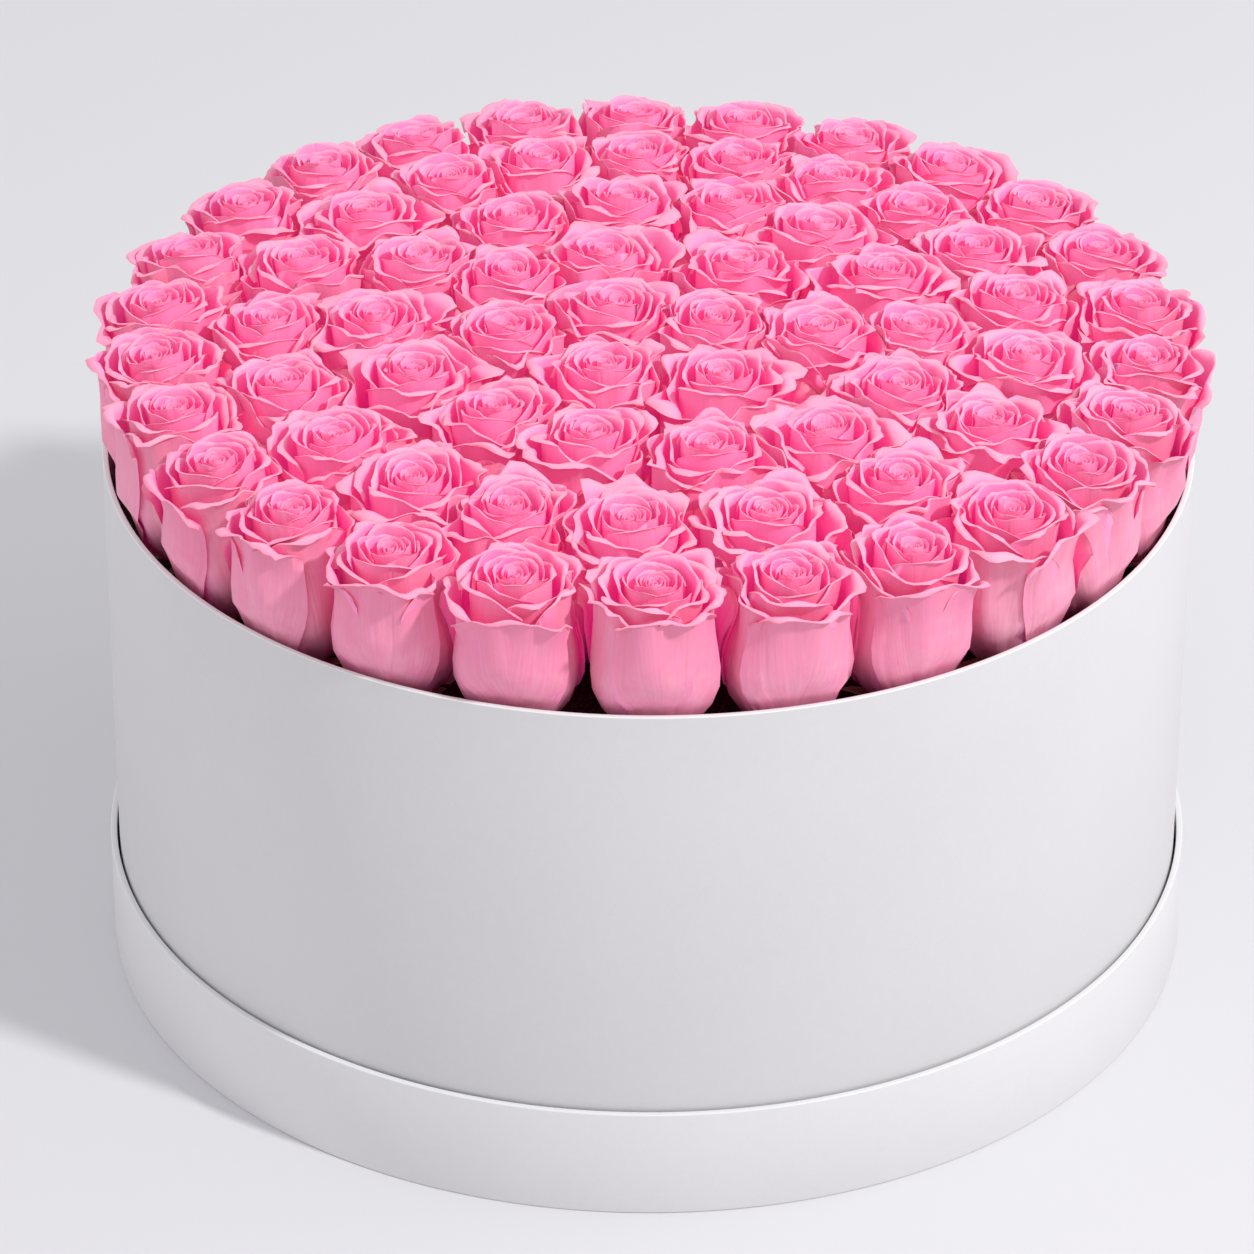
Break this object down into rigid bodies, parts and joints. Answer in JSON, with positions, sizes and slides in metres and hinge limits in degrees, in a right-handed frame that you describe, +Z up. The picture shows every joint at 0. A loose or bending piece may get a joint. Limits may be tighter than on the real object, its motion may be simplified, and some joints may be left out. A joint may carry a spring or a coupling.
{
  "type": "rose box",
  "caption": "Round white board gift box standing in its upturned lid, packed with pink rose heads in rings on a block of dry flower foam.",
  "frame": {"origin": "centre of the lid tray's flat underside, where the box rests", "axes": "+Z up along the box's axis; -Y towards the side the picture is taken from, +X to that view's right"},
  "size_m": [0.4483, 0.45, 0.277],
  "materials": {
    "white_board": "satin",
    "dry_foam": "matte",
    "rose_petal": "matte",
    "rose_leaf": "matte"
  },
  "bodies": {
    "root": {"lid_tray": "white_board", "tub": "white_board", "foam_block": "dry_foam", "rose_outer_01": "rose_petal", "rose_outer_02": "rose_petal", "rose_outer_03": "rose_petal", "rose_outer_04": "rose_petal", "rose_outer_05": "rose_petal", "rose_outer_06": "rose_petal", "rose_outer_07": "rose_petal", "rose_outer_08": "rose_petal", "rose_outer_09": "rose_petal", "rose_outer_10": "rose_petal", "rose_outer_11": "rose_petal", "rose_outer_12": "rose_petal", "rose_outer_13": "rose_petal", "rose_outer_14": "rose_petal", "rose_outer_15": "rose_petal", "rose_outer_16": "rose_petal", "rose_outer_17": "rose_petal", "rose_outer_18": "rose_petal", "rose_outer_19": "rose_petal", "rose_outer_20": "rose_petal", "rose_outer_21": "rose_petal", "rose_outer_22": "rose_petal", "rose_outer_23": "rose_petal", "rose_outer_24": "rose_petal", "rose_outer_25": "rose_petal", "rose_outer_26": "rose_petal", "rose_second_01": "rose_petal", "rose_second_02": "rose_petal", "rose_second_03": "rose_petal", "rose_second_04": "rose_petal", "rose_second_05": "rose_petal", "rose_second_06": "rose_petal", "rose_second_07": "rose_petal", "rose_second_08": "rose_petal", "rose_second_09": "rose_petal", "rose_second_10": "rose_petal", "rose_second_11": "rose_petal", "rose_second_12": "rose_petal", "rose_second_13": "rose_petal", "rose_second_14": "rose_petal", "rose_second_15": "rose_petal", "rose_second_16": "rose_petal", "rose_second_17": "rose_petal", "rose_second_18": "rose_petal", "rose_second_19": "rose_petal", "rose_second_20": "rose_petal", "rose_cluster_01": "rose_petal", "rose_cluster_02": "rose_petal", "rose_cluster_03": "rose_petal", "rose_cluster_04": "rose_petal", "rose_cluster_05": "rose_petal", "rose_cluster_06": "rose_petal", "rose_cluster_07": "rose_petal", "rose_cluster_08": "rose_petal", "rose_cluster_09": "rose_petal", "rose_cluster_10": "rose_petal", "rose_cluster_11": "rose_petal"}
  },
  "joints": []
}
